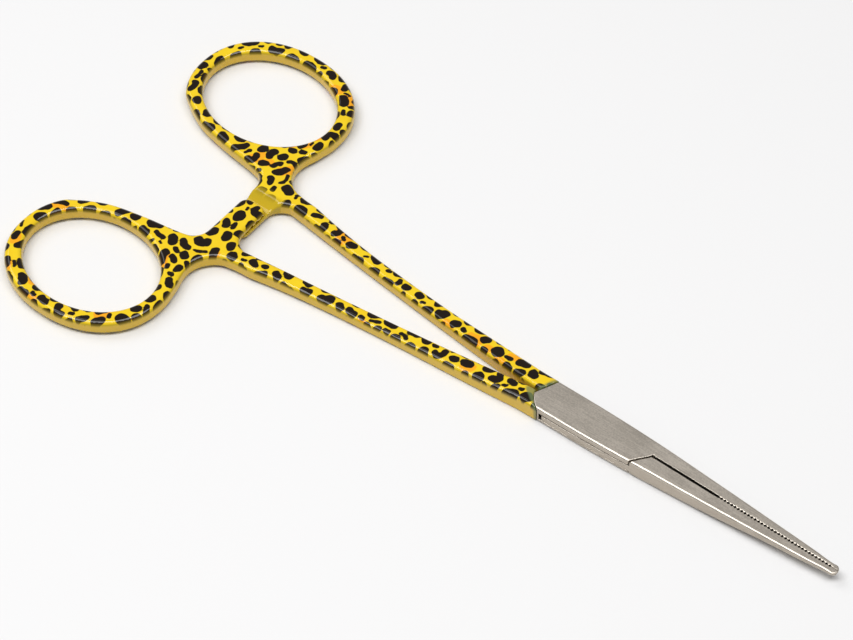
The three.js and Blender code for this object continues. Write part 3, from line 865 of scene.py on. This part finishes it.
def steel_piece(name, field, is_upper):
    """Box, tongue and jaw in fine cells, joined with the steel under the lacquer in coarse ones."""
    front = surface_net(field, *STEEL_BOX, STEEL_STEP)
    core = surface_net(core_field(is_upper), *HANDLE_BOX, CORE_STEP)
    if is_upper:
        core = flipped(*core)
    points, _, normals = front
    # Painted shade: depth below the body's surface, kept in front of the front seam and under the
    # slot's roof, darkens the steel there.
    depth = np.maximum(-body_field(*points.T), 0)
    outer = depth < 0.01
    skin = slope(body_field, points[outer], 0.02)
    normals[outer] = skin / np.linalg.norm(skin, axis=1, keepdims=True)
    shaded_slot_roof = is_upper & (points[:, 2] > SLOT_ROOF[0]) & (points[:, 2] < SLOT_ROOF[1])
    depth = depth * ((points[:, 0] > FRONT_SEAM[0][0] - 0.2) | shaded_slot_roof)
    depth = np.concatenate([depth, np.zeros(len(core[0]))])
    points, quads, normals = joined(front, core)
    attributes = {"lift": np.abs(normals[:, 2]), "depth": depth}
    return make_object(name, points, quads, normals, STEEL, attributes)


def pin_piece(name):
    """Turned pin with a fine chamfer, ground flush with both cheeks."""
    low, high = -PIN_PROUD, BOX_THICKNESS + PIN_PROUD
    edge, drop = PIN_RADIUS - PIN_CHAMFER[0], PIN_CHAMFER[1]
    inner, outer = PIN_FACE_RINGS
    profile = [(inner, low), (outer, low), (edge, low), (PIN_RADIUS, drop),
               (PIN_RADIUS, BOX_THICKNESS / 2), (PIN_RADIUS, BOX_THICKNESS - drop),
               (edge, high), (outer, high), (inner, high)]
    turn = np.linspace(0, 2 * math.pi, PIN_SIDES, endpoint=False)
    points = [(r * MM * math.cos(a), r * MM * math.sin(a), z * MM)
              for r, z in profile for a in turn]
    faces = []
    for ring in range(len(profile) - 1):
        a, b = ring * PIN_SIDES, (ring + 1) * PIN_SIDES
        for i in range(PIN_SIDES):
            j = (i + 1) % PIN_SIDES
            faces.append((a + i, a + j, b + j, b + i))
    faces.append(tuple(range(PIN_SIDES))[::-1])
    faces.append(tuple(range(len(points) - PIN_SIDES, len(points))))
    mesh = bpy.data.meshes.new(name)
    mesh.from_pydata(points, [], faces)
    mesh.update()
    set_attribute(mesh, "lift", np.ones(len(points)))
    mesh.materials.append(PIN_STEEL)
    return link(name, mesh)


def place(obj, body, node):
    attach(obj, body)
    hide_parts(node)


place(lacquer_piece("lacquer_skin_of_box_half", True, 3),
      "box_body", "box_half_lacquer")
place(lacquer_piece("lacquer_skin_of_tongue_half", False, 8),
      "tongue_body", "tongue_half_lacquer")
place(steel_piece("forged_box_half", box_half_field, True),
      "box_body", "box_half")
place(steel_piece("forged_tongue_half", tongue_half_field, False),
      "tongue_body", "tongue_half")
place(pin_piece("ground_joint_pin"), "box_body", "joint_pin")


# ---- floor, light and camera ------------------------------------------------------------------

FLOOR_REACH, FLOOR_Z = 3.0, -0.00002
STAGE_CENTRE = Vector((-0.03, 0, 0))

# The camera found for the photo.
CAMERA_TARGET = Vector((-0.03231, 0.00127, 0.0015))
CAMERA_DISTANCE = 0.53945
CAMERA_ANGLES = (39.03, 50.26, -1.094)  # azimuth, elevation and roll in degrees
CAMERA_SENSOR, CAMERA_LENS = 36.0, 147.7


def make_floor():
    n = Nodes("pale_floor")
    shader = n.add("ShaderNodeBsdfPrincipled", {
        "Base Color": rgb(0.77, 0.77, 0.775), "Roughness": 0.9, "Specular IOR Level": 0.1,
    })
    mesh = bpy.data.meshes.new("floor")
    r, z = FLOOR_REACH, FLOOR_Z
    mesh.from_pydata([(-r, -r, z), (r, -r, z), (r, r, z), (-r, r, z)], [], [(0, 1, 2, 3)])
    mesh.materials.append(n.surface(shader))
    floor = link("floor", mesh)


def soft_light(name, direction, along_way, distance, size, power):
    """Rectangular light aimed at the middle of the stage, its long side lying along `along_way`."""
    light = bpy.data.lights.new(name, "AREA")
    light.shape = "RECTANGLE"
    light.size, light.size_y = size
    light.energy = power
    obj = link(name, light)
    way = Vector(direction).normalized()
    obj.location = STAGE_CENTRE + way * distance
    side = Vector(along_way)
    side = (side - way * side.dot(way)).normalized()
    obj.rotation_mode = "QUATERNION"
    obj.rotation_quaternion = Matrix((side, way.cross(side), way)).transposed().to_quaternion()


def make_world(level):
    world = bpy.data.worlds.new("soft_room")
    world.use_nodes = True
    background = world.node_tree.nodes["Background"]
    background.inputs["Color"].default_value = rgb(1.0, 0.985, 0.965)
    background.inputs["Strength"].default_value = level
    bpy.context.scene.world = world


def make_camera():
    azimuth, elevation, roll = (math.radians(a) for a in CAMERA_ANGLES)
    back = Vector((math.sin(azimuth) * math.cos(elevation),
                   -math.cos(azimuth) * math.cos(elevation),
                   math.sin(elevation)))
    right = (-back).cross(Vector((0, 0, 1))).normalized()
    up = right.cross(-back)
    across = right * math.cos(roll) + up * math.sin(roll)
    upright = up * math.cos(roll) - right * math.sin(roll)
    camera = bpy.data.cameras.new("camera")
    camera.sensor_width = CAMERA_SENSOR
    camera.lens = CAMERA_LENS
    camera.clip_start, camera.clip_end = 0.01, 20
    obj = link("camera", camera)
    rotation = Matrix((across, upright, back)).transposed().to_4x4()
    obj.matrix_world = Matrix.Translation(CAMERA_TARGET + back * CAMERA_DISTANCE) @ rotation
    bpy.context.scene.camera = obj


make_floor()
make_world(0.32)
soft_light("overhead_softbox", (0.068, -0.163, 1.0), (0.777, 0.629, 0), 0.7, (0.95, 0.24), 4.7)
soft_light("rear_softbox", (-0.62, 0.0, 0.78), (0, 1, 0), 0.8, (0.45, 0.45), 1.6)
make_camera()
bpy.context.scene.view_settings.view_transform = "Standard"

bpy.context.view_layer.update()
